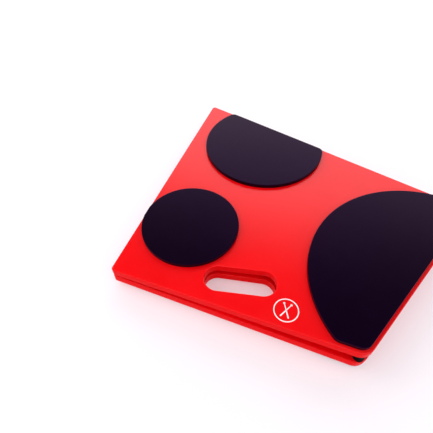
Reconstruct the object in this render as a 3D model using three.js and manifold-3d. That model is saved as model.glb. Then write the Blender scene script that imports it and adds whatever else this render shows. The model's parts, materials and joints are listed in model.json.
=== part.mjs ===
// Folding pair of practice boards for marching tenor drums, shown folded.
//
// Two flat boards are hinged along one straight edge. Each board carries three rubber playing pads on its
// front face. Folded, the boards lie back to back and their pads face outwards, one set up and one set down.
// Rubber feet near the outer corners keep the backs apart, so that the upper board slopes up from the hinge.
//
// Units are millimetres. +X runs from the hinge line to the outer edge, +Y from the front edge to the back
// edge and +Z up. The origin is on the floor, below the middle of the folded set's bounding box.

import * as THREE from 'three';
import { mergeVertices } from 'three/addons/utils/BufferGeometryUtils.js';
import Module from 'manifold-3d';

// ---------------------------------------------------------------- driving dimensions

// Board outline, the same for both boards.
const FRONT_EDGE = 361.7;
const HINGE_EDGE = 416;
const OUTER_EDGE = 293.7;
const OUTER_LEAN = 22.7;
const BACK_FALL = 14.1;
const BACK_REACH = 432;
const HINGE_SETBACK = 0.5;
const HINGE_CORNER = 5;
const OUTER_CORNER = 20;
const BACK_CORNER = 26;
const BOARD_THICK = 12.7;
const BOARD_ARRIS = 1.2;

// Hand slot through both boards.
const SLOT_CENTRE = new THREE.Vector2(180.7, 46.8);
const SLOT_LENGTH = 102;
const SLOT_WIDTH = 39;
const SLOT_TILT = 12.5;

// Playing pads: discs trimmed to the board outline. The insets run round the outline from the front edge.
const PAD_THICK = 6.35;
const PAD_ARRIS = 0.8;
const PAD_INSETS = [5, 5, 5, 5, 2.5];
const RIGHT_PADS = [
  { name: 'small_pad', x: 77.5, y: 112, radius: 75, corner: 10 },
  { name: 'back_pad', x: 131.7, y: 330.5, radius: 106, corner: 10 },
  { name: 'large_pad', x: 428, y: 134, radius: 168.5, corner: 15 },
];
const LEFT_PADS = [
  { name: 'small_pad', x: 77.5, y: 112, radius: 75, corner: 10 },
  { name: 'back_pad', x: 158, y: 330.5, radius: 135, corner: 10 },
  { name: 'large_pad', x: 428, y: 134, radius: 176, corner: 15 },
];

// Butt hinges on the back faces.
const PIVOT_OFFSET = 1.7;
const HINGE_CENTRES = [60, 203, 346];
const HINGE_LENGTH = 60;
const LEAF_WIDTH = 20;
const LEAF_THICK = 1.2;
const KNUCKLE_RADIUS = 2;
const KNUCKLE_COUNT = 5;
const KNUCKLE_GAP = 0.3;
const LEAF_NOTCH = 2.6;
const PIN_RADIUS = 1;
const PIN_CLEARANCE = 0.05;
const PIN_HEAD_RADIUS = 1.7;
const PIN_HEAD_HEIGHT = 1;
const PIN_HEAD_CROWN = 1.2;
const LEAF_SCREW_X = 12.5;
const LEAF_SCREW_SPACING = 36;

// Countersunk hinge screws.
const LEAF_SCREW = { headRadius: 2.9, shankRadius: 1.4, coneDepth: 1.5, length: 9.5, tip: 2 };

// Rubber feet near the two outer corners of each back face, each held by a pan-head screw.
const FOOT_RADIUS = 7.5;
const FOOT_TOP_RADIUS = 6.9;
const FOOT_HEIGHT = 8.5;
const FOOT_SOFTENING = 0.8;
const FOOT_INSET = 10;
const FOOT_FLOOR = 3.5;
const FOOT_RECESS_RADIUS = 4.1;
const FOOT_HOLE_RADIUS = 2.2;
const FOOT_SCREW = { headRadius: 3.6, headHeight: 2.3, shankRadius: 1.8, length: 12.5, tip: 2.5 };
const PAN_CROWN = { radiusShare: 0.6, shoulderRadiusShare: 0.9, shoulderShare: 0.7, rimShare: 0.3 };

// Cross recess of every screw head.
const RECESS_LENGTH_SHARE = 0.55;
const RECESS_WIDTH = 0.7;
const RECESS_DEPTH = 0.8;

// Clearances, and how far a cutting tool runs past the material that it cuts.
const OVERCUT = 1;
const SEAT_GAP = 0.2;
const HOLE_GAP = 0.4;
const FOOT_GAP = 0.3;

// Fineness of round shapes.
const ARC_STEP = THREE.MathUtils.degToRad(7.5);
const SMALL_ROUND_SEGMENTS = 16;
const ARRIS_SEGMENTS = 1;

// ---------------------------------------------------------------- solids and outlines

const wasm = await Module();
wasm.setup();

/** A closed geometry as a solid that can be joined and cut. */
function solidOf(geometry) {
  const bare = geometry.clone();
  bare.deleteAttribute('normal');
  bare.deleteAttribute('uv');
  const merged = mergeVertices(bare);
  const corners = merged.index.array;
  const faces = [];
  for (let i = 0; i < corners.length; i += 3) {
    const [a, b, c] = corners.slice(i, i + 3);
    if (a !== b && b !== c && c !== a) faces.push(a, b, c);
  }
  return new wasm.Manifold(new wasm.Mesh({
    numProp: 3,
    vertProperties: new Float32Array(merged.attributes.position.array),
    triVerts: new Uint32Array(faces),
  }));
}

/** The geometry of a solid, with flat-shaded faces. */
function geometryOf(solid) {
  const mesh = solid.getMesh();
  const geometry = new THREE.BufferGeometry();
  geometry.setAttribute('position', new THREE.BufferAttribute(new Float32Array(mesh.vertProperties), 3));
  geometry.setIndex(new THREE.BufferAttribute(new Uint32Array(mesh.triVerts), 1));
  const flat = geometry.toNonIndexed();
  flat.computeVertexNormals();
  return flat;
}

/** A solid with each of the cutters taken away. */
function cut(solid, cutters) {
  return cutters.reduce((rest, cutter) => rest.subtract(cutter), solid);
}

/** The point at one distance and direction from a centre. */
function spokeTip(centre, radius, angle) {
  return new THREE.Vector2(Math.cos(angle), Math.sin(angle)).multiplyScalar(radius).add(centre);
}

/** Points along an arc, anticlockwise from one angle to another, both ends included. */
function arcPoints(centre, radius, from, to) {
  const steps = Math.max(2, Math.ceil((to - from) / ARC_STEP));
  const points = [];
  for (let i = 0; i <= steps; i += 1) {
    points.push(spokeTip(centre, radius, from + ((to - from) * i) / steps));
  }
  return points;
}

/** The same direction as angle, brought to lie between start and one turn past it. */
function angleAfter(angle, start) {
  const turn = 2 * Math.PI;
  return start + ((((angle - start) % turn) + turn) % turn);
}

/** The five sharp corners of a board with their radii, anticlockwise from the hinge's front end. */
function boardCorners() {
  const lean = THREE.MathUtils.degToRad(OUTER_LEAN);
  const fall = Math.tan(THREE.MathUtils.degToRad(BACK_FALL));
  return [
    { x: HINGE_SETBACK, y: 0, radius: HINGE_CORNER },
    { x: FRONT_EDGE, y: 0, radius: OUTER_CORNER },
    { x: FRONT_EDGE + OUTER_EDGE * Math.sin(lean), y: OUTER_EDGE * Math.cos(lean), radius: OUTER_CORNER },
    { x: BACK_REACH, y: HINGE_EDGE - BACK_REACH * fall, radius: BACK_CORNER },
    { x: HINGE_SETBACK, y: HINGE_EDGE - HINGE_SETBACK * fall, radius: HINGE_CORNER },
  ];
}

/** The board's straight edges as lines: a point p is inside where normal . p is below offset. */
function boardEdges() {
  const corners = boardCorners();
  return corners.map((corner, i) => {
    const next = corners[(i + 1) % corners.length];
    const normal = new THREE.Vector2(next.y - corner.y, corner.x - next.x).normalize();
    return { normal, offset: normal.x * corner.x + normal.y * corner.y };
  });
}

/** Where two edge lines meet. */
function meetingPoint(a, b) {
  const determinant = a.normal.x * b.normal.y - a.normal.y * b.normal.x;
  const x = (a.offset * b.normal.y - a.normal.y * b.offset) / determinant;
  const y = (a.normal.x * b.offset - a.offset * b.normal.x) / determinant;
  return new THREE.Vector2(x, y);
}

/** The edge lines moved inwards, each by its own distance. */
function insetEdges(distances) {
  return boardEdges().map(({ normal, offset }, i) => ({ normal, offset: offset - distances[i] }));
}

/** The board outline with its corners rounded. */
function boardOutline() {
  const corners = boardCorners();
  const edges = boardEdges();
  return corners.flatMap((corner, i) => {
    const before = edges[(i + edges.length - 1) % edges.length].normal;
    const after = edges[i].normal;
    const pull = corner.radius / (1 + before.dot(after));
    const centre = new THREE.Vector2(corner.x, corner.y);
    centre.sub(before.clone().add(after).multiplyScalar(pull));
    return arcPoints(centre, corner.radius, before.angle(), angleAfter(after.angle(), before.angle()));
  });
}

/** The hand slot: two half circles joined by straight sides, tilted to the front edge. */
function slotOutline() {
  const radius = SLOT_WIDTH / 2;
  const tilt = THREE.MathUtils.degToRad(SLOT_TILT);
  const along = new THREE.Vector2(Math.cos(tilt), Math.sin(tilt)).multiplyScalar(SLOT_LENGTH / 2 - radius);
  const quarter = Math.PI / 2;
  return [
    ...arcPoints(SLOT_CENTRE.clone().add(along), radius, tilt - quarter, tilt + quarter),
    ...arcPoints(SLOT_CENTRE.clone().sub(along), radius, tilt + quarter, tilt + 3 * quarter),
  ];
}

/** The corner points of a disc trimmed by straight edges, each with the directions its two sides face. */
function trimmedDiscCorners(centre, radius, edges) {
  const inside = (point, own) => edges.every((edge) => own.includes(edge) || edge.normal.dot(point) < edge.offset);
  const corners = [];
  edges.forEach((edge, i) => {
    const heading = edge.normal.angle();
    const distance = edge.offset - edge.normal.dot(centre);
    if (Math.abs(distance) < radius) {
      const spread = Math.acos(distance / radius);
      const first = spokeTip(centre, radius, heading - spread);
      const last = spokeTip(centre, radius, heading + spread);
      if (inside(first, [edge])) corners.push({ point: first, from: heading - spread, to: heading, disc: false });
      if (inside(last, [edge])) corners.push({ point: last, from: heading, to: heading + spread, disc: true });
    }
    const next = edges[(i + 1) % edges.length];
    const meeting = meetingPoint(edge, next);
    if (meeting.distanceTo(centre) < radius && inside(meeting, [edge, next])) {
      corners.push({ point: meeting, from: heading, to: next.normal.angle(), disc: false });
    }
  });
  return corners.sort((a, b) => angleAfter(a.from, 0) - angleAfter(b.from, 0));
}

/** A pad outline: a disc trimmed to the inset board outline, with its corners rounded. */
function padOutline(pad) {
  const centre = new THREE.Vector2(pad.x, pad.y);
  const edges = insetEdges(PAD_INSETS.map((inset) => inset + pad.corner));
  const corners = trimmedDiscCorners(centre, pad.radius - pad.corner, edges);
  if (corners.length === 0) {
    return arcPoints(centre, pad.radius, 0, 2 * Math.PI).slice(1);
  }
  return corners.flatMap((corner, i) => {
    const to = angleAfter(corner.to, corner.from);
    const points = arcPoints(corner.point, pad.corner, corner.from, to);
    if (corner.disc) {
      const next = corners[(i + 1) % corners.length];
      points.push(...arcPoints(centre, pad.radius, to, angleAfter(next.from, to)).slice(1, -1));
    }
    return points;
  });
}

/** Outline points on one half, still anticlockwise: side is 1 for the right half and -1 for the left. */
function onSide(points, side) {
  const placed = points.map((point) => new THREE.Vector2(side * point.x, point.y));
  return side > 0 ? placed : placed.reverse();
}

/** A plate with rounded arrises, extruded from an outline and lying between two heights. */
function plate(outline, holes, low, thickness, arris) {
  const shape = new THREE.Shape(outline);
  shape.holes = holes.map((hole) => new THREE.Path(hole));
  const geometry = new THREE.ExtrudeGeometry(shape, {
    depth: thickness - 2 * arris,
    bevelThickness: arris,
    bevelSize: arris,
    bevelOffset: -arris,
    bevelSegments: ARRIS_SEGMENTS,
  });
  geometry.translate(0, 0, low + arris);
  return geometry;
}

/** An upright round bar standing on a given height. */
function upright(radius, x, y, low, height) {
  const geometry = new THREE.CylinderGeometry(radius, radius, height, SMALL_ROUND_SEGMENTS);
  geometry.rotateX(Math.PI / 2);
  geometry.translate(x, y, low + height / 2);
  return geometry;
}

/** A round bar lying along the hinge line between two stations. */
function alongHinge(radius, yLow, yHigh) {
  const geometry = new THREE.CylinderGeometry(radius, radius, yHigh - yLow, SMALL_ROUND_SEGMENTS);
  geometry.translate(0, (yLow + yHigh) / 2, 0);
  return geometry;
}

/** A block between two corners. */
function block(x0, x1, y0, y1, z0, z1) {
  const geometry = new THREE.BoxGeometry(Math.abs(x1 - x0), Math.abs(y1 - y0), Math.abs(z1 - z0));
  geometry.translate((x0 + x1) / 2, (y0 + y1) / 2, (z0 + z1) / 2);
  return geometry;
}

/** A body of revolution about +Z from a profile of [radius, height] pairs that starts and ends on the axis. */
function turned(profile) {
  const points = profile.map(([radius, height]) => new THREE.Vector2(radius, height));
  const geometry = new THREE.LatheGeometry(points, SMALL_ROUND_SEGMENTS);
  geometry.rotateX(Math.PI / 2);
  return geometry;
}

// ---------------------------------------------------------------- materials

const boardMaterial = () => new THREE.MeshStandardMaterial({ color: 0xf0080f, roughness: 0.38, metalness: 0 });
const padMaterial = () => new THREE.MeshStandardMaterial({ color: 0x140c1c, roughness: 0.85, metalness: 0 });
const footMaterial = () => new THREE.MeshStandardMaterial({ color: 0x101012, roughness: 0.8, metalness: 0 });
const steelMaterial = () => new THREE.MeshStandardMaterial({ color: 0xb8babd, roughness: 0.35, metalness: 1 });

function part(name, geometry, material) {
  const mesh = new THREE.Mesh(geometry, material);
  mesh.name = name;
  return mesh;
}

// ---------------------------------------------------------------- positions in one half
// A half is drawn open, with its playing face up: z = 0 is the hinge line's height, the board's back face is
// PIVOT_OFFSET above it, and x is the distance from the hinge line times the side.

const BACK_FACE = PIVOT_OFFSET;
const FRONT_FACE = BACK_FACE + BOARD_THICK;
const FITTING_FACE = BACK_FACE - SEAT_GAP;
const HALF_HEIGHT = FRONT_FACE + SEAT_GAP + PAD_THICK;

/** Centres of the two feet: in the front outer corner and in the corner behind it. */
function footCentres() {
  const edges = insetEdges([FOOT_INSET, FOOT_INSET, FOOT_INSET, FOOT_INSET, FOOT_INSET]);
  return [
    { name: 'front_foot', at: meetingPoint(edges[0], edges[1]) },
    { name: 'back_foot', at: meetingPoint(edges[1], edges[2]) },
  ];
}

/** Screw centres of one hinge leaf, from the hinge line outwards. */
function leafScrewCentres(hingeY) {
  return [-1, 1].map((end) => new THREE.Vector2(LEAF_SCREW_X, hingeY + (end * LEAF_SCREW_SPACING) / 2));
}

// ---------------------------------------------------------------- sub-parts of one half

/** The board: outline, hand slot and blind holes in the back face for every screw. */
function boardGeometry(side) {
  const outline = onSide(boardOutline(), side);
  const slot = onSide(slotOutline(), side);
  const body = solidOf(plate(outline, [slot], BACK_FACE, BOARD_THICK, BOARD_ARRIS));
  const blindHole = (centre, screw, reach) => {
    const radius = screw.shankRadius + HOLE_GAP;
    return solidOf(upright(radius, side * centre.x, centre.y, FITTING_FACE - OVERCUT, reach + OVERCUT + HOLE_GAP));
  };
  const leafReach = LEAF_SCREW.length - LEAF_THICK;
  const footReach = FOOT_SCREW.length - FOOT_FLOOR;
  const leafHoles = HINGE_CENTRES.flatMap(leafScrewCentres).map((at) => blindHole(at, LEAF_SCREW, leafReach));
  const footHoles = footCentres().map(({ at }) => blindHole(at, FOOT_SCREW, footReach));
  return geometryOf(cut(body, [...leafHoles, ...footHoles]));
}

/** One rubber pad on the front face. */
function padGeometry(pad, side) {
  return plate(onSide(padOutline(pad), side), [], FRONT_FACE + SEAT_GAP, PAD_THICK, PAD_ARRIS);
}

/** Start and end of a knuckle along the hinge line. */
function knuckleSpan(hingeY, index) {
  const pitch = HINGE_LENGTH / KNUCKLE_COUNT;
  const start = hingeY - HINGE_LENGTH / 2 + index * pitch;
  return [start + KNUCKLE_GAP / 2, start + pitch - KNUCKLE_GAP / 2];
}

/** One hinge leaf. The right leaf has the first, third and fifth knuckles, and the left leaf the others. */
function leafGeometry(hingeY, side) {
  const inner = FITTING_FACE - LEAF_THICK;
  const half = HINGE_LENGTH / 2;
  const flat = block(side * LEAF_NOTCH, side * LEAF_WIDTH, hingeY - half, hingeY + half, inner, FITTING_FACE);
  let leaf = solidOf(flat);
  for (let index = side > 0 ? 0 : 1; index < KNUCKLE_COUNT; index += 2) {
    const [start, end] = knuckleSpan(hingeY, index);
    leaf = leaf.add(solidOf(block(0, side * (LEAF_NOTCH + OVERCUT), start, end, inner, FITTING_FACE)));
    leaf = leaf.add(solidOf(alongHinge(KNUCKLE_RADIUS, start, end)));
  }
  const bore = alongHinge(PIN_RADIUS + PIN_CLEARANCE, hingeY - half - OVERCUT, hingeY + half + OVERCUT);
  const countersink = LEAF_SCREW.headRadius + SEAT_GAP;
  const throat = countersink - LEAF_THICK;
  const sinks = leafScrewCentres(hingeY).map((at) => {
    const past = LEAF_THICK + OVERCUT;
    const funnel = [[countersink, -OVERCUT], [countersink, 0], [throat, LEAF_THICK], [throat, past]];
    const profile = [[0, -OVERCUT], ...funnel, [0, past]];
    return solidOf(turned(profile).translate(side * at.x, at.y, inner));
  });
  return geometryOf(cut(leaf, [solidOf(bore), ...sinks]));
}

/** A cross recess, sunk from z = 0 upwards into a screw head. */
function crossRecess(headRadius) {
  const reach = headRadius * RECESS_LENGTH_SHARE;
  const width = RECESS_WIDTH / 2;
  const one = solidOf(block(-reach, reach, -width, width, -OVERCUT, RECESS_DEPTH));
  return one.add(solidOf(block(-width, width, -reach, reach, -OVERCUT, RECESS_DEPTH)));
}

/** A countersunk screw along +Z with its flat head face at z = 0. */
function leafScrewGeometry() {
  const { headRadius, shankRadius, coneDepth, length, tip } = LEAF_SCREW;
  const body = turned([[0, 0], [headRadius, 0], [shankRadius, coneDepth], [shankRadius, length - tip], [0, length]]);
  return geometryOf(solidOf(body).subtract(crossRecess(headRadius)));
}

/** A pan-head screw along +Z with its head's underside at z = 0. */
function footScrewGeometry() {
  const { headRadius, headHeight, shankRadius, length, tip } = FOOT_SCREW;
  const profile = [
    [0, -headHeight],
    [headRadius * PAN_CROWN.radiusShare, -headHeight],
    [headRadius * PAN_CROWN.shoulderRadiusShare, -headHeight * PAN_CROWN.shoulderShare],
    [headRadius, -headHeight * PAN_CROWN.rimShare],
    [headRadius, 0],
    [shankRadius, 0],
    [shankRadius, length - tip],
    [0, length],
  ];
  const recess = crossRecess(headRadius).translate([0, 0, -headHeight]);
  return geometryOf(solidOf(turned(profile)).subtract(recess));
}

/** A rubber foot hanging from z = 0 downwards, with a sunk seat for its screw. */
function footGeometry() {
  const body = turned([
    [0, -FOOT_HEIGHT],
    [FOOT_TOP_RADIUS - FOOT_SOFTENING, -FOOT_HEIGHT],
    [FOOT_TOP_RADIUS, FOOT_SOFTENING - FOOT_HEIGHT],
    [FOOT_RADIUS, 0],
    [0, 0],
  ]);
  const recess = upright(FOOT_RECESS_RADIUS, 0, 0, -FOOT_HEIGHT - OVERCUT, FOOT_HEIGHT + OVERCUT - FOOT_FLOOR);
  const hole = upright(FOOT_HOLE_RADIUS, 0, 0, -FOOT_HEIGHT, FOOT_HEIGHT + OVERCUT);
  return geometryOf(cut(solidOf(body), [solidOf(recess), solidOf(hole)]));
}

/** A hinge pin with a small button head at each end, along the hinge line. */
function pinGeometry(hingeY) {
  const half = HINGE_LENGTH / 2 + SEAT_GAP;
  const end = half + PIN_HEAD_HEIGHT;
  const geometry = turned([
    [0, -end],
    [PIN_HEAD_CROWN, -end],
    [PIN_HEAD_RADIUS, PIN_HEAD_HEIGHT / 2 - end],
    [PIN_HEAD_RADIUS, -half],
    [PIN_RADIUS, -half],
    [PIN_RADIUS, half],
    [PIN_HEAD_RADIUS, half],
    [PIN_HEAD_RADIUS, end - PIN_HEAD_HEIGHT / 2],
    [PIN_HEAD_CROWN, end],
    [0, end],
  ]);
  geometry.rotateX(Math.PI / 2);
  return geometry.translate(0, hingeY, 0);
}

/** Adds the three hinge leaves of one half, with their screws. */
function addHingeLeaves(group, half, side) {
  HINGE_CENTRES.forEach((hingeY, i) => {
    const leafName = `${half}_hinge_leaf_${i + 1}`;
    group.add(part(leafName, leafGeometry(hingeY, side), steelMaterial()));
    leafScrewCentres(hingeY).forEach((at, j) => {
      const screw = part(`${leafName}_screw_${j + 1}`, leafScrewGeometry(), steelMaterial());
      screw.position.set(side * at.x, at.y, FITTING_FACE - LEAF_THICK);
      group.add(screw);
    });
  });
}

/** Adds the two feet of one half, with their screws. */
function addFeet(group, half, side) {
  for (const { name, at } of footCentres()) {
    const foot = part(`${half}_${name}`, footGeometry(), footMaterial());
    foot.position.set(side * at.x, at.y, FITTING_FACE);
    const screw = part(`${half}_${name}_screw`, footScrewGeometry(), steelMaterial());
    screw.position.set(side * at.x, at.y, FITTING_FACE - FOOT_FLOOR - SEAT_GAP);
    group.add(foot, screw);
  }
}

/** One half of the set, drawn open: a board with its pads, hinge leaves and feet. */
function buildHalf(half, side, pads) {
  const group = new THREE.Group();
  group.add(part(`${half}_board`, boardGeometry(side), boardMaterial()));
  for (const pad of pads) {
    group.add(part(`${half}_${pad.name}`, padGeometry(pad, side), padMaterial()));
  }
  addHingeLeaves(group, half, side);
  addFeet(group, half, side);
  return group;
}

// ---------------------------------------------------------------- assembly, folded

/** The angle between the folded boards, at which the front feet almost touch. */
function foldedWedge() {
  const footReach = FOOT_HEIGHT - FITTING_FACE;
  const firstFoot = footCentres()[0].at.x - FOOT_RADIUS;
  return Math.asin((2 * footReach + FOOT_GAP) / firstFoot);
}

const group = new THREE.Group();

const rightHalf = buildHalf('right', 1, RIGHT_PADS);
rightHalf.position.z = HALF_HEIGHT;
rightHalf.rotation.y = -foldedWedge();
HINGE_CENTRES.forEach((hingeY, i) => {
  rightHalf.add(part(`hinge_pin_${i + 1}`, pinGeometry(hingeY), steelMaterial()));
});

const leftHalf = buildHalf('left', -1, LEFT_PADS);
leftHalf.position.z = HALF_HEIGHT;
leftHalf.rotation.y = Math.PI;

group.add(rightHalf, leftHalf);
const middle = new THREE.Box3().setFromObject(group, true).getCenter(new THREE.Vector3());
for (const half of group.children) half.position.sub(new THREE.Vector3(middle.x, middle.y, 0));

export default group;
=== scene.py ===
"""Looks of a folding pair of practice boards for marching tenor drums.

Two red plastic boards lie back to back, hinged along their left edge. Each carries three black rubber
playing pads on its outer face. Lengths are in metres, in the frame of the CAD model.
"""

import json
import math

import bmesh
import bpy
from mathutils import Matrix, Vector


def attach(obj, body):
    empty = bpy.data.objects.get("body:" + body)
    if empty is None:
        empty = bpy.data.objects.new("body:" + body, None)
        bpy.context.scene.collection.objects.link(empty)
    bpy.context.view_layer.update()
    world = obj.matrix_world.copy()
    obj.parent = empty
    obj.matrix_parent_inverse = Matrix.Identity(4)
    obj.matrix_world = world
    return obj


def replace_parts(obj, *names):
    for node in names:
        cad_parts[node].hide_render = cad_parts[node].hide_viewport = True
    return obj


MM = 0.001
QUARTER_TURN = math.pi / 2
FULL_TURN = 2 * math.pi

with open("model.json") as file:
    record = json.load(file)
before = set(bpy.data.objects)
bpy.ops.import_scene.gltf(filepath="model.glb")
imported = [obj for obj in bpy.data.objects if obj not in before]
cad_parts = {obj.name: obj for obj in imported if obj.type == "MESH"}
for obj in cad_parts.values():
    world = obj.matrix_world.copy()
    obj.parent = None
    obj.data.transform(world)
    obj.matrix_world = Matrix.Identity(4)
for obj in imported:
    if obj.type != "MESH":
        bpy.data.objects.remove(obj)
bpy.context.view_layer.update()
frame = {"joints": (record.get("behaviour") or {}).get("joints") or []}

# ---------------------------------------------------------------- places that the frame gives

FOLD = frame["joints"][0]
WEDGE = math.radians(180 - FOLD["range_deg"][1])
PIVOT = Matrix.Translation(FOLD["pos_m"])
HALVES = {
    "right": {"side": 1, "body": "right_half", "place": PIVOT @ Matrix.Rotation(-WEDGE, 4, "Y")},
    "left": {"side": -1, "body": "left_half", "place": PIVOT @ Matrix.Rotation(math.pi, 4, "Y")},
}

# ---------------------------------------------------------------- driving dimensions of boards and pads
# One half is drawn with its hinge line along Y and its board reaching out along X.

FRONT_EDGE = 361.7 * MM
HINGE_EDGE = 416 * MM
OUTER_EDGE = 293.7 * MM
OUTER_LEAN = math.radians(22.7)
BACK_FALL = math.tan(math.radians(14.1))
BACK_REACH = 432 * MM
HINGE_SETBACK = 0.5 * MM
HINGE_CORNER = 5 * MM
OUTER_CORNER = 20 * MM
BACK_CORNER = 26 * MM

SLOT_CENTRE = Vector((180.7, 46.8)) * MM
SLOT_LENGTH = 102 * MM
SLOT_WIDTH = 39 * MM
SLOT_TILT = math.radians(12.5)


def pad_shape(name, x, y, radius, corner):
    return {"name": name, "centre": Vector((x, y)) * MM, "radius": radius * MM, "corner": corner * MM}


PAD_INSETS = [5 * MM, 5 * MM, 5 * MM, 5 * MM, 2.5 * MM]
SMALL_PAD = pad_shape("small_pad", 77.5, 112, radius=75, corner=10)
PADS = {
    "right": [
        SMALL_PAD,
        pad_shape("back_pad", 131.7, 330.5, radius=106, corner=10),
        pad_shape("large_pad", 428, 134, radius=168.5, corner=15),
    ],
    "left": [
        SMALL_PAD,
        pad_shape("back_pad", 158, 330.5, radius=135, corner=10),
        pad_shape("large_pad", 428, 134, radius=176, corner=15),
    ],
}

# Heights in one half, counted from the hinge line towards the playing face.
BACK_FACE = 1.7 * MM
FRONT_FACE = BACK_FACE + 12.7 * MM
PAD_FACE = FRONT_FACE + 6.55 * MM
FITTING_FACE = BACK_FACE - 0.2 * MM
LEAF_FACE = FITTING_FACE - 1.2 * MM

BOARD_ARRIS = 1.3 * MM
PAD_TOP_ARRIS = 0.9 * MM
PAD_FOOT_ARRIS = 0.25 * MM
ARRIS_STEPS = 5
ARC_STEP = math.radians(2.5)

FOOT_INSET = 10 * MM

# ---------------------------------------------------------------- outlines
# An outline is a ring of spokes. A spoke is a centre, a radius and a direction, and its tip is a point of
# the outline. Changing every radius by the same amount moves the whole outline in or out by that amount.


def spokes(centre, radius, start, end):
    """Spokes of one arc, anticlockwise from start to end, both included."""
    steps = max(2, math.ceil((end - start) / ARC_STEP))
    return [(centre, radius, start + (end - start) * i / steps) for i in range(steps + 1)]


def circle(centre, radius):
    return spokes(centre, radius, 0, FULL_TURN)[1:]


def direction(angle):
    return Vector((math.cos(angle), math.sin(angle)))


def heading(vector):
    return math.atan2(vector.y, vector.x)


def angle_after(angle, start):
    """The same direction as angle, brought to lie between start and one turn past it."""
    return start + (angle - start) % FULL_TURN


def tips(outline, inset):
    """Points of an outline moved inwards by inset."""
    return [centre + direction(angle) * (radius - inset) for centre, radius, angle in outline]


def board_corners():
    """The sharp corners of a board with their radii, anticlockwise from the hinge's front end."""
    outer_x = FRONT_EDGE + OUTER_EDGE * math.sin(OUTER_LEAN)
    outer_y = OUTER_EDGE * math.cos(OUTER_LEAN)
    return [
        (Vector((HINGE_SETBACK, 0)), HINGE_CORNER),
        (Vector((FRONT_EDGE, 0)), OUTER_CORNER),
        (Vector((outer_x, outer_y)), OUTER_CORNER),
        (Vector((BACK_REACH, HINGE_EDGE - BACK_REACH * BACK_FALL)), BACK_CORNER),
        (Vector((HINGE_SETBACK, HINGE_EDGE - HINGE_SETBACK * BACK_FALL)), HINGE_CORNER),
    ]


def board_edges(insets):
    """Straight edges as (normal, offset): a point p is inside where normal . p is below offset."""
    corners = [corner for corner, _ in board_corners()]
    edges = []
    for i, corner in enumerate(corners):
        run = corners[(i + 1) % len(corners)] - corner
        normal = Vector((run.y, -run.x)).normalized()
        edges.append((normal, normal.dot(corner) - insets[i]))
    return edges


def meeting_point(edge, other):
    """Where two edge lines meet."""
    normal, offset = edge
    other_normal, other_offset = other
    determinant = normal.x * other_normal.y - normal.y * other_normal.x
    x = (offset * other_normal.y - normal.y * other_offset) / determinant
    y = (normal.x * other_offset - offset * other_normal.x) / determinant
    return Vector((x, y))


def board_outline():
    edges = board_edges([0] * len(board_corners()))
    outline = []
    for i, (corner, radius) in enumerate(board_corners()):
        before, after = edges[i - 1][0], edges[i][0]
        centre = corner - (before + after) * (radius / (1 + before.dot(after)))
        start = heading(before)
        outline += spokes(centre, radius, start, angle_after(heading(after), start))
    return outline


def slot_outline():
    radius = SLOT_WIDTH / 2
    along = direction(SLOT_TILT) * (SLOT_LENGTH / 2 - radius)
    turned = SLOT_TILT + QUARTER_TURN
    outline = spokes(SLOT_CENTRE + along, radius, SLOT_TILT - QUARTER_TURN, turned)
    return outline + spokes(SLOT_CENTRE - along, radius, turned, turned + math.pi)


def trimmed_disc_corners(centre, radius, edges):
    """Corners of a disc trimmed by straight edges: (point, facing before, facing after, disc follows)."""

    def inside(point, own):
        return all(e in own or e[0].dot(point) < e[1] for e in edges)

    corners = []
    for i, edge in enumerate(edges):
        normal, offset = edge
        facing = heading(normal)
        distance = offset - normal.dot(centre)
        if abs(distance) < radius:
            spread = math.acos(distance / radius)
            for sign in (-1, 1):
                angle = facing + sign * spread
                point = centre + direction(angle) * radius
                if inside(point, [edge]):
                    before, after = (angle, facing) if sign < 0 else (facing, angle)
                    corners.append((point, before, after, sign > 0))
        following = edges[(i + 1) % len(edges)]
        meeting = meeting_point(edge, following)
        if (meeting - centre).length < radius and inside(meeting, [edge, following]):
            corners.append((meeting, facing, heading(following[0]), False))
    return sorted(corners, key=lambda corner: angle_after(corner[1], 0))


def pad_outline(pad):
    """A disc trimmed to the inset board outline, with its corners rounded."""
    centre, radius, rounding = pad["centre"], pad["radius"], pad["corner"]
    edges = board_edges([inset + rounding for inset in PAD_INSETS])
    corners = trimmed_disc_corners(centre, radius - rounding, edges)
    if not corners:
        return circle(centre, radius)
    outline = []
    for i, (point, before, after, disc_follows) in enumerate(corners):
        end = angle_after(after, before)
        outline += spokes(point, rounding, before, end)
        if disc_follows:
            next_before = corners[(i + 1) % len(corners)][1]
            outline += spokes(centre, radius, end, angle_after(next_before, end))[1:-1]
    return outline


def on_side(outline, side):
    """The outline on one half, still anticlockwise: side is 1 for the right half and -1 for the left."""
    if side > 0:
        return outline
    mirrored = [(Vector((-c.x, c.y)), radius, math.pi - angle) for c, radius, angle in outline]
    return mirrored[::-1]


# ---------------------------------------------------------------- mesh building


def rounded_profile(low, high, low_arris, high_arris):
    """(inset, height) pairs up the side of a plate, with both arrises rounded."""
    profile = []
    turns = [QUARTER_TURN * i / ARRIS_STEPS for i in range(ARRIS_STEPS + 1)]
    for turn in turns:
        profile.append((low_arris * (1 - math.sin(turn)), low + low_arris * (1 - math.cos(turn))))
    for turn in turns:
        profile.append((high_arris * (1 - math.cos(turn)), high - high_arris * (1 - math.sin(turn))))
    return profile


def ring_of_verts(bm, points, height):
    return [bm.verts.new((point.x, point.y, height)) for point in points]


def bridge(bm, lower, upper):
    """Quads between two rings of equal length, facing out when the rings run anticlockwise."""
    for i, vert in enumerate(lower):
        j = (i + 1) % len(lower)
        bm.faces.new((vert, lower[j], upper[j], upper[i]))


def wall(bm, outline, profile, sign):
    """The side of a plate, or of a hole where sign is -1. Returns its lowest and highest rings."""
    rings = [ring_of_verts(bm, tips(outline, sign * inset), height) for inset, height in profile]
    for lower, upper in zip(rings, rings[1:]):
        if sign > 0:
            bridge(bm, lower, upper)
        else:
            bridge(bm, upper, lower)
    return rings[0], rings[-1]


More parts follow.
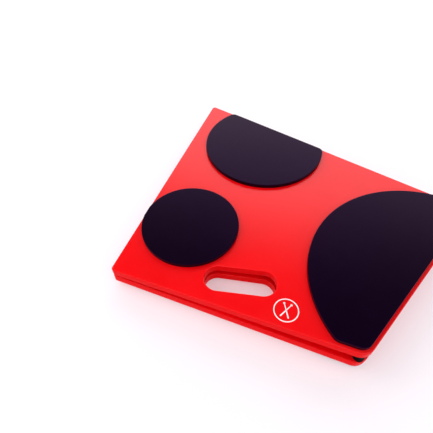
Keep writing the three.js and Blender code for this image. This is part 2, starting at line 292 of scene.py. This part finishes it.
def cap(bm, rings, up):
    """Closes the flat face between an outer ring and the rings of any holes."""
    edges = []
    for ring in rings:
        edges += [bm.edges.get((vert, ring[(i + 1) % len(ring)])) for i, vert in enumerate(ring)]
    normal = (0, 0, 1 if up else -1)
    made = bmesh.ops.triangle_fill(bm, edges=edges, use_beauty=True, use_dissolve=False, normal=normal)
    for face in made["geom"]:
        if isinstance(face, bmesh.types.BMFace) and (face.normal.z > 0) != up:
            face.normal_flip()


def plate(bm, outline, holes, profile):
    """A closed plate with any number of holes through it, each with its own profile."""
    walls = [wall(bm, outline, profile, 1)] + [wall(bm, hole, side, -1) for hole, side in holes]
    bm.normal_update()
    cap(bm, [low for low, _ in walls], False)
    cap(bm, [high for _, high in walls], True)


def temporary(bm):
    """A throwaway object for a boolean step, made from a mesh that it uses up."""
    mesh = bpy.data.meshes.new("temporary")
    bmesh.ops.recalc_face_normals(bm, faces=bm.faces)
    bm.to_mesh(mesh)
    bm.free()
    piece = bpy.data.objects.new("temporary", mesh)
    bpy.context.scene.collection.objects.link(piece)
    return piece


def joined(bm, add, take=()):
    """The union of closed meshes, less the meshes to take away, as one clean mesh."""
    base = temporary(bm)
    for operation, others in (("UNION", add), ("DIFFERENCE", take)):
        for other in others:
            cutter = base.modifiers.new(operation, "BOOLEAN")
            cutter.operation = operation
            cutter.object = temporary(other)
            cutter.solver = "EXACT"
    bpy.context.view_layer.update()
    result = bmesh.new()
    result.from_object(base, bpy.context.evaluated_depsgraph_get())
    for cutter in base.modifiers:
        bpy.data.objects.remove(cutter.object)
    bpy.data.objects.remove(base)
    return result


def finish_piece(name, bm, half, material):
    """Makes an object from a mesh drawn in one half, smooths its shading and lets it ride on that half."""
    bm.transform(HALVES[half]["place"])
    bmesh.ops.recalc_face_normals(bm, faces=bm.faces)
    mesh = bpy.data.meshes.new(name)
    bm.to_mesh(mesh)
    bm.free()
    mesh.shade_smooth()
    mesh.materials.append(material)
    piece = bpy.data.objects.new(name, mesh)
    bpy.context.scene.collection.objects.link(piece)
    weighted = piece.modifiers.new("even_shading", "WEIGHTED_NORMAL")
    weighted.weight = 100
    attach(piece, HALVES[half]["body"])
    return piece


# ---------------------------------------------------------------- node trees


class Nodes:
    """Short ways to add shader nodes to one material or world."""

    def __init__(self, owner, shader):
        owner.use_nodes = True
        self.owner = owner
        self.tree = owner.node_tree
        self.shader = self.tree.nodes[shader]
        self.coordinates = self.add("ShaderNodeTexCoord")

    def add(self, kind, **settings):
        node = self.tree.nodes.new(kind)
        for key, value in settings.items():
            setattr(node, key, value)
        return node

    def put(self, value, socket):
        if isinstance(value, bpy.types.NodeSocket):
            self.tree.links.new(value, socket)
        else:
            socket.default_value = value

    def fill(self, node, **inputs):
        """Sets inputs of a node; an underscore in a name stands for a space."""
        for key, value in inputs.items():
            self.put(value, node.inputs[key.replace("_", " ")])

    def set(self, **inputs):
        self.fill(self.shader, **inputs)

    def noise(self, scale, detail=2.0, roughness=0.5, stretch=None):
        place = self.coordinates.outputs["Object"]
        if stretch:
            mapping = self.add("ShaderNodeMapping")
            self.fill(mapping, Vector=place, Scale=stretch)
            place = mapping.outputs["Vector"]
        node = self.add("ShaderNodeTexNoise")
        self.fill(node, Vector=place, Scale=scale, Detail=detail, Roughness=roughness)
        return node.outputs["Fac"]

    def spread(self, value, low=0, high=1, from_low=0.35, from_high=0.65):
        """Maps a value to a range, clamped."""
        node = self.add("ShaderNodeMapRange", clamp=True)
        self.fill(node, Value=value, From_Min=from_low, From_Max=from_high, To_Min=low, To_Max=high)
        return node.outputs["Result"]

    def mix(self, factor, a, b):
        node = self.add("ShaderNodeMix", data_type="RGBA")
        self.fill(node, Factor=factor, A=a, B=b)
        return node.outputs["Result"]

    def larger(self, a, b):
        node = self.add("ShaderNodeMath", operation="MAXIMUM")
        self.put(a, node.inputs[0])
        self.put(b, node.inputs[1])
        return node.outputs["Value"]

    def size_of(self, value):
        node = self.add("ShaderNodeMath", operation="ABSOLUTE")
        self.put(value, node.inputs[0])
        return node.outputs["Value"]

    def bump(self, height, strength, distance, under=None):
        node = self.add("ShaderNodeBump")
        self.fill(node, Height=height, Strength=strength, Distance=distance)
        if under:
            self.put(under, node.inputs["Normal"])
        return node.outputs["Normal"]


def material_nodes(name):
    return Nodes(bpy.data.materials.new(name), "Principled BSDF")


# ---------------------------------------------------------------- materials


def red_plastic():
    """Satin sheet with a fine orange peel and faint hairline scuffs. Its upright faces, cut by a router,
    carry a darker red as painted shade and mirror next to nothing; faces turned down mirror the most."""
    bright = (0.90, 0.0012, 0.0040, 1)
    deep = (0.86, 0.0010, 0.0034, 1)
    # Painted shade: a darker red for the upright faces, standing in for the light they lose.
    upright_painted_shade = (0.80, 0.0008, 0.0028, 1)
    nodes = material_nodes("red_plastic")
    flat_colour = nodes.mix(nodes.spread(nodes.noise(scale=14, detail=3)), bright, deep)
    facing = nodes.add("ShaderNodeSeparateXYZ")
    nodes.put(nodes.coordinates.outputs["Normal"], facing.inputs[0])
    up = facing.outputs["Z"]
    flatness = nodes.spread(nodes.size_of(up), from_low=0.1, from_high=0.5)
    # Painted shade: upright faces are mixed towards the darker red, flat faces keep the plain red.
    colour = nodes.mix(flatness, upright_painted_shade, flat_colour)
    top_mirror = nodes.spread(up, low=0.02, high=0.5, from_low=0.7, from_high=0.95)
    under_mirror = nodes.spread(up, low=1.0, high=0.02, from_low=-0.5, from_high=-0.15)
    dull = nodes.spread(nodes.noise(scale=32, detail=4), low=0.18, high=0.23, from_low=0.2, from_high=0.8)
    peel = nodes.bump(nodes.noise(scale=900), strength=0.05, distance=0.0002)
    hairlines = nodes.noise(scale=420, detail=3, roughness=0.6, stretch=(1, 12, 1))
    scuffs = nodes.bump(hairlines, strength=0.02, distance=0.0001, under=peel)
    nodes.set(Base_Color=colour, Roughness=dull, IOR=1.47, Normal=scuffs)
    nodes.set(Specular_IOR_Level=nodes.larger(top_mirror, under_mirror))
    return nodes.owner


def pad_rubber():
    """Dense smooth rubber, nearly black with a violet cast, finely grained and a little uneven in tone."""
    nodes = material_nodes("pad_rubber")
    tone = nodes.spread(nodes.noise(scale=9, detail=5))
    colour = nodes.mix(tone, (0.0009, 0.0002, 0.0020, 1), (0.0018, 0.0004, 0.0034, 1))
    dull = nodes.spread(nodes.noise(scale=45, detail=4), low=0.27, high=0.32, from_low=0.2, from_high=0.8)
    grain = nodes.bump(nodes.noise(scale=2600, detail=3, roughness=0.6), strength=0.15, distance=0.0002)
    swell = nodes.bump(nodes.noise(scale=60), strength=0.04, distance=0.0006, under=grain)
    nodes.set(Base_Color=colour, Roughness=dull, IOR=1.45, Normal=swell)
    nodes.set(Specular_IOR_Level=0.2, Specular_Tint=(0.68, 0.08, 1.0, 1))
    return nodes.owner


def foot_rubber():
    """Moulded black rubber with a matt, slightly grainy skin."""
    nodes = material_nodes("foot_rubber")
    tone = nodes.spread(nodes.noise(scale=180, detail=3))
    colour = nodes.mix(tone, (0.0018, 0.0017, 0.0020, 1), (0.0036, 0.0034, 0.0040, 1))
    dull = nodes.spread(nodes.noise(scale=90), low=0.55, high=0.7)
    grain = nodes.bump(nodes.noise(scale=3500, detail=3), strength=0.3, distance=0.0002)
    nodes.set(Base_Color=colour, Roughness=dull, Specular_IOR_Level=0.03, Normal=grain)
    return nodes.owner


def hinge_steel():
    """Rolled steel with a brushed grain along the hinge."""
    nodes = material_nodes("hinge_steel")
    brush = nodes.noise(scale=900, detail=4, roughness=0.6, stretch=(1, 0.04, 1))
    colour = nodes.mix(nodes.spread(brush), (0.50, 0.50, 0.51, 1), (0.62, 0.62, 0.63, 1))
    grain = nodes.bump(brush, strength=0.12, distance=0.0001)
    dull = nodes.spread(brush, low=0.26, high=0.40)
    nodes.set(Base_Color=colour, Metallic=1.0, Roughness=dull, Normal=grain)
    return nodes.owner


def screw_zinc():
    """Bright zinc plating, a little mottled."""
    nodes = material_nodes("screw_zinc")
    mottle = nodes.noise(scale=1400, detail=3)
    colour = nodes.mix(nodes.spread(mottle), (0.60, 0.61, 0.64, 1), (0.70, 0.71, 0.73, 1))
    skin = nodes.bump(mottle, strength=0.08, distance=0.0001)
    dull = nodes.spread(mottle, low=0.22, high=0.36)
    nodes.set(Base_Color=colour, Metallic=1.0, Roughness=dull, Normal=skin)
    return nodes.owner


def white_ink():
    """Screen-printed white, with slightly uneven cover."""
    nodes = material_nodes("white_ink")
    cover = nodes.spread(nodes.noise(scale=1600, detail=4, roughness=0.6), from_low=0.3, from_high=0.5)
    colour = nodes.mix(cover, (0.88, 0.62, 0.62, 1), (0.90, 0.88, 0.88, 1))
    nodes.set(Base_Color=colour, Roughness=0.5, Normal=nodes.bump(cover, strength=0.1, distance=0.00005))
    return nodes.owner


RED = red_plastic()
PAD = pad_rubber()
RUBBER = foot_rubber()
STEEL = hinge_steel()
ZINC = screw_zinc()
INK = white_ink()

# ---------------------------------------------------------------- boards and pads


def add_board(half):
    side = HALVES[half]["side"]
    bm = bmesh.new()
    profile = rounded_profile(BACK_FACE, FRONT_FACE, BOARD_ARRIS, BOARD_ARRIS)
    plate(bm, on_side(board_outline(), side), [(on_side(slot_outline(), side), profile)], profile)
    node = f"{half}_board"
    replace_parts(finish_piece(f"{node}_moulded", bm, half, RED), node)


def add_pad(half, pad):
    bm = bmesh.new()
    profile = rounded_profile(FRONT_FACE, PAD_FACE, PAD_FOOT_ARRIS, PAD_TOP_ARRIS)
    plate(bm, on_side(pad_outline(pad), HALVES[half]["side"]), [], profile)
    node = f"{half}_{pad['name']}"
    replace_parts(finish_piece(f"{node}_rubber", bm, half, PAD), node)


# ---------------------------------------------------------------- hinges, feet and screws


# Places of fittings, in metres except for the hinges' centres.
HINGE_CENTRES = [60, 203, 346]
LEAF_SCREW_X = 12.5 * MM
LEAF_SCREW_SPACING = 36 * MM
LEAF_SOFTENING = 0.12 * MM
FOOT_FLOOR = 3.7 * MM

# Sizes of fittings, in millimetres. box_mesh() and lathed() turn them into metres.
HINGE_LENGTH = 60
LEAF_NEAR = 2.6
LEAF_FAR = 20
KNUCKLE_COUNT = 5
KNUCKLE_RADIUS = 2
KNUCKLE_CHAMFER = 0.15
KNUCKLE_GAP = 0.3
KNUCKLE_ROOT = 3.6
BORE_RADIUS = 1.05
RECESS_WIDTH = 0.7
RECESS_DEPTH = 0.8
LEAF_SCREW_RECESS = 1.6
FOOT_SCREW_RECESS = 1.9
FOOT_SCREW_HEAD = 2.3

# How far each cutter sticks out past what it cuts, in millimetres.
CUT_PAST = 1

# How far the screws are turned, in radians. The second screw of a leaf is turned twice as far as the first.
LEAF_SCREW_TURN = 0.9
FOOT_SCREW_TURN = 0.6

TURNED_SEGMENTS = 40
KNUCKLE_SEGMENTS = 36
BORE_SEGMENTS = 32
FOOT_SEGMENTS = 64

# Profiles of turned parts, as (radius, height) in millimetres.
SCREW_SINK = [(0, -CUT_PAST), (3.1, -CUT_PAST), (3.1, 0), (1.9, 1.2), (1.9, 2), (0, 2)]
COUNTERSUNK_SCREW = [
    (0, 0), (2.75, 0), (2.9, 0.1), (2.85, 0.25),
    (1.4, 1.5), (1.4, 7.5), (0.25, 9.4), (0, 9.5),
]
PAN_HEAD_SCREW = [
    (0, -FOOT_SCREW_HEAD), (1.6, -2.26), (2.5, -2.05), (3.1, -1.65),
    (3.45, -1.1), (3.6, -0.5), (3.6, -0.1), (3.5, 0),
    (1.8, 0), (1.8, 10), (0.25, 12.4), (0, 12.5),
]
HOLLOW_FOOT = [
    (4.4, -8.5), (6.2, -8.5), (6.55, -8.4), (6.8, -8.15), (6.92, -7.8),
    (7.48, -0.35), (7.4, -0.1), (7.2, 0),
    (2.2, 0), (2.2, -3.5), (3.9, -3.5), (4.1, -3.7), (4.1, -8.2), (4.2, -8.42),
]
PIN_HEAD = [(1, 30.2), (1.65, 30.2), (1.7, 30.3), (1.6, 30.65), (1.25, 30.95), (0.7, 31.15), (0, 31.2)]
PIN = [(radius, -height) for radius, height in reversed(PIN_HEAD)] + PIN_HEAD


def lathed(profile, segments=TURNED_SEGMENTS):
    """A body of revolution about Z. The profile runs upwards round the outside, and closes on itself or
    starts and ends on the axis."""
    bm = bmesh.new()
    turns = [FULL_TURN * i / segments for i in range(segments)]
    rings = []
    for radius, height in [(radius * MM, height * MM) for radius, height in profile]:
        if radius == 0:
            rings.append([bm.verts.new((0, 0, height))])
        else:
            ring = [Vector((radius * math.cos(turn), radius * math.sin(turn))) for turn in turns]
            rings.append(ring_of_verts(bm, ring, height))
    pairs = list(zip(rings, rings[1:]))
    if profile[0][0] > 0:
        pairs.append((rings[-1], rings[0]))
    for lower, upper in pairs:
        for i in range(segments):
            j = (i + 1) % segments
            if len(lower) == 1:
                bm.faces.new((lower[0], upper[j], upper[i]))
            elif len(upper) == 1:
                bm.faces.new((lower[i], lower[j], upper[0]))
            else:
                bm.faces.new((lower[i], lower[j], upper[j], upper[i]))
    return bm


def box_mesh(size, centre):
    bm = bmesh.new()
    bmesh.ops.create_cube(bm, size=1, matrix=Matrix.Translation(centre) @ Matrix.Diagonal((*size, 1)))
    bm.transform(Matrix.Scale(MM, 4))
    return bm


def turned_about_z(angle):
    return Matrix.Rotation(angle, 4, "Z")


def moved(bm, place, turn=None):
    """The mesh turned, then moved to a place."""
    bm.transform(Matrix.Translation(place) @ (turn or Matrix()))
    return bm


ALONG_HINGE = Matrix.Rotation(QUARTER_TURN, 4, "X")


def leaf_screw_places(side, hinge_y):
    ends = [hinge_y * MM + sign * LEAF_SCREW_SPACING / 2 for sign in (-1, 1)]
    return [(side * LEAF_SCREW_X, y, LEAF_FACE) for y in ends]


def foot_place(side, edge, next_edge):
    """Where a foot meets the board, near the corner of two edges numbered 0 front, 1 outer, 2 back."""
    edges = board_edges([FOOT_INSET] * len(board_corners()))
    corner = meeting_point(edges[edge], edges[next_edge])
    return Vector((side * corner.x, corner.y, FITTING_FACE))


def hinge_leaf(side, hinge_y):
    """A leaf with its countersunk screw holes and its rolled knuckles, bored through for the pin."""
    low, high = LEAF_FACE / MM, FITTING_FACE / MM
    middle = (low + high) / 2
    centre = (side * (LEAF_NEAR + LEAF_FAR) / 2, hinge_y, middle)
    leaf = box_mesh((LEAF_FAR - LEAF_NEAR, HINGE_LENGTH, high - low), centre)
    knuckles = []
    pitch = HINGE_LENGTH / KNUCKLE_COUNT
    for index in range(0 if side > 0 else 1, KNUCKLE_COUNT, 2):
        station = hinge_y + pitch * (index - (KNUCKLE_COUNT - 1) / 2)
        barrel = lathed(knuckle_profile(pitch - KNUCKLE_GAP), KNUCKLE_SEGMENTS)
        knuckles.append(moved(barrel, (0, station * MM, 0), ALONG_HINGE))
        root_size = (KNUCKLE_ROOT, pitch - KNUCKLE_GAP, high - low)
        knuckles.append(box_mesh(root_size, (side * KNUCKLE_ROOT / 2, station, middle)))
    reach = HINGE_LENGTH / 2 + CUT_PAST
    bore = lathed([(0, -reach), (BORE_RADIUS, -reach), (BORE_RADIUS, reach), (0, reach)], BORE_SEGMENTS)
    sinks = [moved(lathed(SCREW_SINK), place) for place in leaf_screw_places(side, hinge_y)]
    return joined(leaf, knuckles, [moved(bore, (0, hinge_y * MM, 0), ALONG_HINGE), *sinks])


def knuckle_profile(length):
    """A barrel centred on the origin, with a small chamfer at each end."""
    end = length / 2
    shoulder = end - KNUCKLE_CHAMFER
    rim = KNUCKLE_RADIUS - KNUCKLE_CHAMFER
    outside = [(KNUCKLE_RADIUS, -shoulder), (KNUCKLE_RADIUS, shoulder)]
    return [(0, -end), (rim, -end), *outside, (rim, end), (0, end)]


def cross_headed(profile, reach, face):
    """A screw standing head down, with a cross recess sunk into its head from the height of its face."""
    middle = face + (RECESS_DEPTH - CUT_PAST) / 2
    blades = []
    for size in ((2 * reach, RECESS_WIDTH), (RECESS_WIDTH, 2 * reach)):
        blades.append(box_mesh((*size, RECESS_DEPTH + CUT_PAST), (0, 0, middle)))
    return joined(lathed(profile), [], blades)


def soften(piece, width):
    """Small bevels on the sharp edges of a fitting, made before its shading is evened."""
    bevel = piece.modifiers.new("soften", "BEVEL")
    bevel.width = width
    bevel.segments = 2
    bevel.angle_limit = math.radians(35)
    piece.modifiers.move(1, 0)


def add_screw(half, node, screw):
    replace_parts(finish_piece(f"{node}_plated", screw, half, ZINC), node)


def add_hinge_leaf(half, node, hinge_y):
    side = HALVES[half]["side"]
    leaf = finish_piece(f"{node}_rolled", hinge_leaf(side, hinge_y), half, STEEL)
    soften(leaf, LEAF_SOFTENING)
    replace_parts(leaf, node)
    for count, place in enumerate(leaf_screw_places(side, hinge_y), 1):
        screw = cross_headed(COUNTERSUNK_SCREW, LEAF_SCREW_RECESS, 0)
        moved(screw, place, turned_about_z(LEAF_SCREW_TURN * count))
        add_screw(half, f"{node}_screw_{count}", screw)


def add_foot(half, node, place):
    foot = moved(lathed(HOLLOW_FOOT, FOOT_SEGMENTS), place)
    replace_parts(finish_piece(f"{node}_moulded", foot, half, RUBBER), node)
    screw = cross_headed(PAN_HEAD_SCREW, FOOT_SCREW_RECESS, -FOOT_SCREW_HEAD)
    moved(screw, place - Vector((0, 0, FOOT_FLOOR)), turned_about_z(FOOT_SCREW_TURN))
    add_screw(half, f"{node}_screw", screw)


def add_pin(node, hinge_y):
    pin = moved(lathed(PIN), (0, hinge_y * MM, 0), ALONG_HINGE)
    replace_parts(finish_piece(f"{node}_turned", pin, "right", STEEL), node)


for half, settings in HALVES.items():
    add_board(half)
    for pad in PADS[half]:
        add_pad(half, pad)
    for number, hinge_y in enumerate(HINGE_CENTRES, 1):
        add_hinge_leaf(half, f"{half}_hinge_leaf_{number}", hinge_y)
    add_foot(half, f"{half}_front_foot", foot_place(settings["side"], 0, 1))
    add_foot(half, f"{half}_back_foot", foot_place(settings["side"], 1, 2))
for number, hinge_y in enumerate(HINGE_CENTRES, 1):
    add_pin(f"hinge_pin_{number}", hinge_y)

# ---------------------------------------------------------------- printed mark

MARK_CENTRE = Vector((251.5, 25.3)) * MM
MARK_RADIUS = 17 * MM
MARK_LINE = 1.5 * MM
MARK_RAISE = 0.12 * MM
MARK_FOOT_ARRIS = 0.02 * MM
MARK_TOP_ARRIS = 0.08 * MM
STICK_LEANS = [math.radians(62), math.radians(118)]
STICK_BELOW = 11 * MM
STICK_ABOVE = 10.5 * MM
STICK_TIP_RADIUS = 0.55 * MM
STICK_BUTT_RADIUS = 0.95 * MM
BEAD_RADIUS = 1.5 * MM


def printed_mark():
    """A plain ring round two crossed sticks, each a thin bar with a bead."""
    bm = bmesh.new()
    low, high = FRONT_FACE - MARK_RAISE, FRONT_FACE + MARK_RAISE
    profile = rounded_profile(low, high, MARK_FOOT_ARRIS, MARK_TOP_ARRIS)
    inner = circle(MARK_CENTRE, MARK_RADIUS - MARK_LINE)
    plate(bm, circle(MARK_CENTRE, MARK_RADIUS), [(inner, profile)], profile)
    for lean in STICK_LEANS:
        butt = MARK_CENTRE - direction(lean) * STICK_BELOW
        tip = MARK_CENTRE + direction(lean) * STICK_ABOVE
        turned = lean + QUARTER_TURN
        stick = spokes(tip, STICK_TIP_RADIUS, lean - QUARTER_TURN, turned)
        stick += spokes(butt, STICK_BUTT_RADIUS, turned, turned + math.pi)
        plate(bm, stick, [], profile)
        plate(bm, circle(tip, BEAD_RADIUS), [], profile)
    return bm


finish_piece("right_board_print", printed_mark(), "right", INK)

# ---------------------------------------------------------------- floor, light and camera

FLOOR_REACH = 6

# Brightness of the room against how far a direction leans towards the back wall, from 0 (overhead or
# forwards) to 1 (level, straight at the wall). The steps are greys with a little less green.
ROOM_FRONT = (0.26, (0.52, 0.51, 0.52, 1))
ROOM_STEPS = ((0.36, 0.01), (0.50, 0.01), (0.57, 0.06), (0.62, 0.2), (0.66, 0.7), (0.70, 1.0))
ROOM_WALL = (1.0, (1.0, 0.97, 1.0, 1))
ROOM_GREEN = 0.97
ROOM_STRENGTH = 2.0
TOWARDS_WALL = (-0.15, 1.0, 0.0)
BACKDROP = (0.49, 0.48, 0.49, 1)

PANEL_PLACE = Vector((-1.7, 0.1, 1.3))
PANEL_SIZE = (1.5, 1.2)
PANEL_WATTS = 12

CAMERA_PLACE = (-0.0023, -0.4309, 0.5257)
CAMERA_PAN = math.radians(18.66)
CAMERA_TILT = math.radians(38.59)
CAMERA_ROLL = math.radians(2.47)
CAMERA_LENS = 32.67
CAMERA_SENSOR = 36
CAMERA_NEAR = 0.01


def white_floor():
    """Plain matt white, with a slight glow."""
    mesh = bpy.data.meshes.new("floor")
    corners = [(-1, -1, 0), (1, -1, 0), (1, 1, 0), (-1, 1, 0)]
    mesh.from_pydata([Vector(corner) * FLOOR_REACH for corner in corners], [], [(0, 1, 2, 3)])
    nodes = material_nodes("white_floor")
    tone = nodes.spread(nodes.noise(scale=3, detail=3))
    paper = nodes.mix(tone, (0.69, 0.68, 0.70, 1), (0.71, 0.70, 0.72, 1))
    fibres = nodes.bump(nodes.noise(scale=700, detail=3), strength=0.04, distance=0.0002)
    nodes.set(Base_Color=paper, Roughness=0.75, Normal=fibres)
    nodes.set(Emission_Color=(1.0, 0.94, 1.0, 1), Emission_Strength=0.30)
    mesh.materials.append(nodes.owner)
    floor = bpy.data.objects.new("floor", mesh)
    bpy.context.scene.collection.objects.link(floor)


def studio_room():
    """Even light from the front and overhead, a dark gap, then a white wall behind the boards to mirror.
    The camera itself sees a plain pale backdrop."""
    nodes = Nodes(bpy.data.worlds.new("studio"), "Background")
    lean = nodes.add("ShaderNodeVectorMath", operation="DOT_PRODUCT")
    nodes.put(nodes.coordinates.outputs["Generated"], lean.inputs[0])
    nodes.put(TOWARDS_WALL, lean.inputs[1])
    room = nodes.add("ShaderNodeValToRGB")
    nodes.put(lean.outputs["Value"], room.inputs["Fac"])
    stops = room.color_ramp.elements
    stops[0].position, stops[0].color = ROOM_FRONT
    stops[1].position, stops[1].color = ROOM_WALL
    for position, grey in ROOM_STEPS:
        stops.new(position).color = (grey, ROOM_GREEN * grey, grey, 1)
    seen = nodes.add("ShaderNodeLightPath").outputs["Is Camera Ray"]
    nodes.set(Color=nodes.mix(seen, room.outputs["Color"], BACKDROP), Strength=ROOM_STRENGTH)
    bpy.context.scene.world = nodes.owner


def left_panel():
    """A soft panel on the left, aimed at the boards, that no glossy skin mirrors."""
    light = bpy.data.lights.new("left_panel", "AREA")
    light.shape = "RECTANGLE"
    light.size, light.size_y = PANEL_SIZE
    light.energy = PANEL_WATTS
    panel = bpy.data.objects.new("left_panel", light)
    panel.location = PANEL_PLACE
    panel.rotation_euler = (-PANEL_PLACE).to_track_quat("-Z", "Y").to_euler()
    panel.visible_glossy = False
    bpy.context.scene.collection.objects.link(panel)


def photo_camera():
    lens = bpy.data.cameras.new("camera")
    lens.sensor_width = CAMERA_SENSOR
    lens.lens = CAMERA_LENS
    lens.clip_start = CAMERA_NEAR
    camera = bpy.data.objects.new("camera", lens)
    pan = Matrix.Rotation(CAMERA_PAN, 4, "Z")
    tilt = Matrix.Rotation(CAMERA_TILT, 4, "X")
    roll = Matrix.Rotation(CAMERA_ROLL, 4, "Z")
    camera.matrix_world = Matrix.Translation(CAMERA_PLACE) @ pan @ tilt @ roll
    bpy.context.scene.collection.objects.link(camera)
    bpy.context.scene.camera = camera


white_floor()
studio_room()
left_panel()
photo_camera()
bpy.context.scene.view_settings.view_transform = "Standard"
